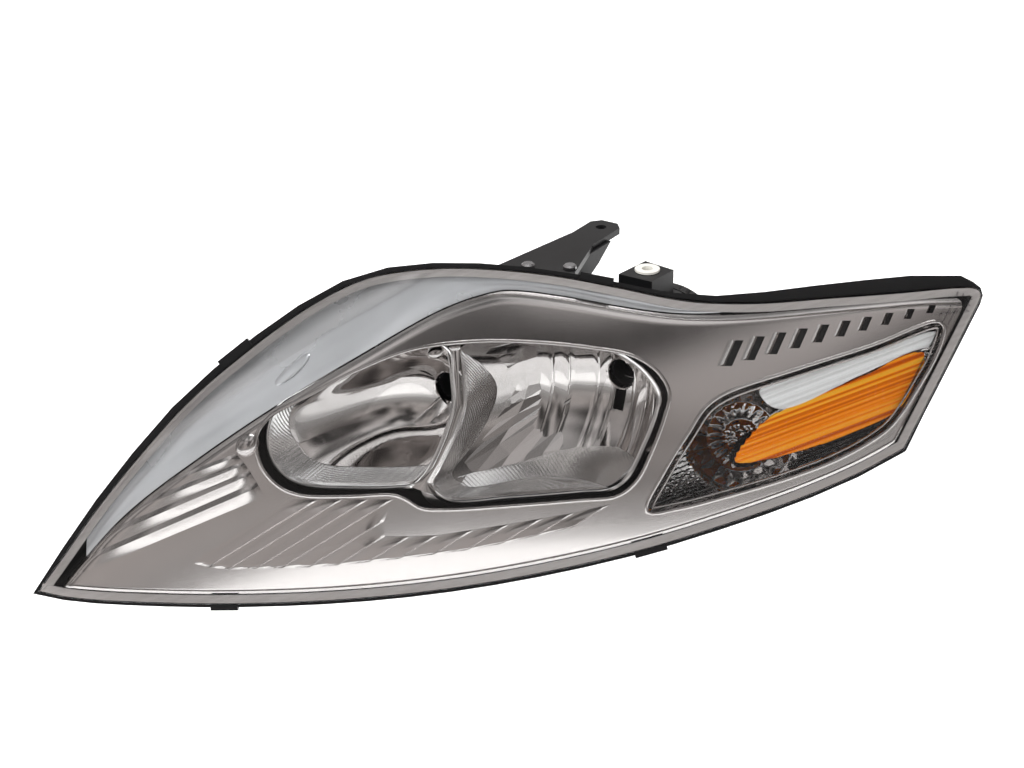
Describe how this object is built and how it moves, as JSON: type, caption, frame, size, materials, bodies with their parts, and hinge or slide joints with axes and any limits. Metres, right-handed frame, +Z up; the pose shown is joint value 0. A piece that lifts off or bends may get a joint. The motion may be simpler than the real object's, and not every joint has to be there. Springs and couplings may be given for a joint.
{
  "type": "car headlight assembly",
  "caption": "Swept-back left car headlight: clear lens, bright bezel, twin low and high beam bowls, amber indicator, black housing with rear covers and aiming gear.",
  "frame": {"origin": "centre of the top face of the upper fixing bush, the bolt that carries the lamp", "axes": "-Y is forwards, the way the beams shine; +X is outboard, towards the side of the car; +Z is up"},
  "size_m": [0.5511, 0.4819, 0.2459],
  "materials": {
    "black_plastic": "moulded black polypropylene",
    "dark_plastic": "dark grey moulded plastic",
    "clear_plastic": "hard-coated clear polycarbonate",
    "amber_plastic": "clear amber polycarbonate",
    "metallised_plastic": "bright vacuum-metallised plastic",
    "satin_grey_plastic": "satin grey metallised plastic",
    "rubber": "black rubber",
    "nylon": "natural white nylon",
    "spring_steel": "bright spring steel wire",
    "bulb_glass": "clear bulb glass"
  },
  "bodies": {
    "housing": {"main_housing": "black_plastic", "upper_arm": "black_plastic", "bush_pedestal": "black_plastic", "lower_foot": "black_plastic", "inboard_tab": "black_plastic", "arm_screw_1": "spring_steel", "arm_screw_2": "spring_steel", "outer_lens": "clear_plastic", "lens_seal": "rubber", "bezel": "metallised_plastic", "upper_trim_panel": "satin_grey_plastic", "indicator_reflector": "metallised_plastic", "indicator_inner_lens": "clear_plastic", "indicator_amber_filter": "amber_plastic", "upper_bolt_bush": "nylon", "pivot_fork": "dark_plastic", "main_connector_pins": "spring_steel", "lens_clip_1": "black_plastic", "lens_clip_2": "black_plastic", "lens_clip_3": "black_plastic", "lens_clip_4": "black_plastic", "vent_cap_1": "rubber", "vent_cap_2": "rubber", "level_motor": "dark_plastic"},
    "cross": {"pivot_cross": "nylon"},
    "reflector_unit": {"twin_reflector": "metallised_plastic", "position_bulb_holder": "rubber", "position_bulb": "bulb_glass"},
    "low_clip": {"low_bulb_clip": "spring_steel"},
    "high_clip": {"high_bulb_clip": "spring_steel"},
    "level_push_rod": {"level_rod": "nylon"},
    "side_push_rod": {"side_rod": "nylon"},
    "side_nut": {"side_adjuster_nut": "nylon"},
    "knob": {"level_knob": "nylon"},
    "low_cover": {"low_beam_cover": "black_plastic", "low_beam_cover_seal": "rubber"},
    "high_cover": {"high_beam_cover": "black_plastic", "high_beam_cover_seal": "rubber"},
    "indicator_holder": {"indicator_bulb_holder": "dark_plastic", "indicator_bulb": "bulb_glass", "indicator_holder_seal": "rubber"}
  },
  "joints": [
    {"name": "side_aim", "type": "hinge", "parent": "housing", "child": "cross", "pos_m": [-0.053, -0.07, -0.046], "axis": [0, 0, 1], "range_deg": [-2, 2]},
    {"name": "headlamp_level", "type": "hinge", "parent": "cross", "child": "reflector_unit", "pos_m": [-0.053, -0.07, -0.046], "axis": [1, 0, 0], "range_deg": [-2.5, 2.5]},
    {"name": "level_rod_travel", "type": "slide", "parent": "housing", "child": "level_push_rod", "axis": [0, 1, 0], "range_m": [-0.0036, 0.0036]},
    {"name": "side_rod_travel", "type": "slide", "parent": "housing", "child": "side_push_rod", "axis": [0, 1, 0], "range_m": [-0.0038, 0.0038]},
    {"name": "level_knob_turn", "type": "hinge", "parent": "housing", "child": "knob", "pos_m": [-0.041, -0.026, -0.136], "axis": [0, 1, 0], "range_deg": [-420, 420]},
    {"name": "side_nut_turn", "type": "hinge", "parent": "housing", "child": "side_nut", "pos_m": [-0.155, -0.1, -0.044], "axis": [0, 1, 0], "range_deg": [-440, 440]},
    {"name": "low_clip_swing", "type": "hinge", "parent": "reflector_unit", "child": "low_clip", "pos_m": [-0.012, -0.034, -0.066], "axis": [0, 0, 1], "range_deg": [0, 90]},
    {"name": "high_clip_swing", "type": "hinge", "parent": "reflector_unit", "child": "high_clip", "pos_m": [-0.121, -0.104, -0.076], "axis": [0, 0, 1], "range_deg": [0, 90]},
    {"name": "low_cover_pull", "type": "slide", "parent": "housing", "child": "low_cover", "axis": [0, 1, 0], "range_m": [0, 0.05]},
    {"name": "high_cover_pull", "type": "slide", "parent": "housing", "child": "high_cover", "axis": [0, 1, 0], "range_m": [0, 0.05]},
    {"name": "indicator_holder_twist", "type": "hinge", "parent": "housing", "child": "indicator_holder", "pos_m": [0.101, 0.032, -0.118], "axis": [0, 1, 0], "range_deg": [0, 35]}
  ],
  "couplings": [
    {"joint": "level_rod_travel", "follows": "headlamp_level", "m_per_rad": 0.078},
    {"joint": "side_rod_travel", "follows": "side_aim", "m_per_rad": -0.102},
    {"joint": "level_knob_turn", "follows": "headlamp_level", "ratio": 163.4},
    {"joint": "side_nut_turn", "follows": "side_aim", "ratio": -213.6}
  ]
}
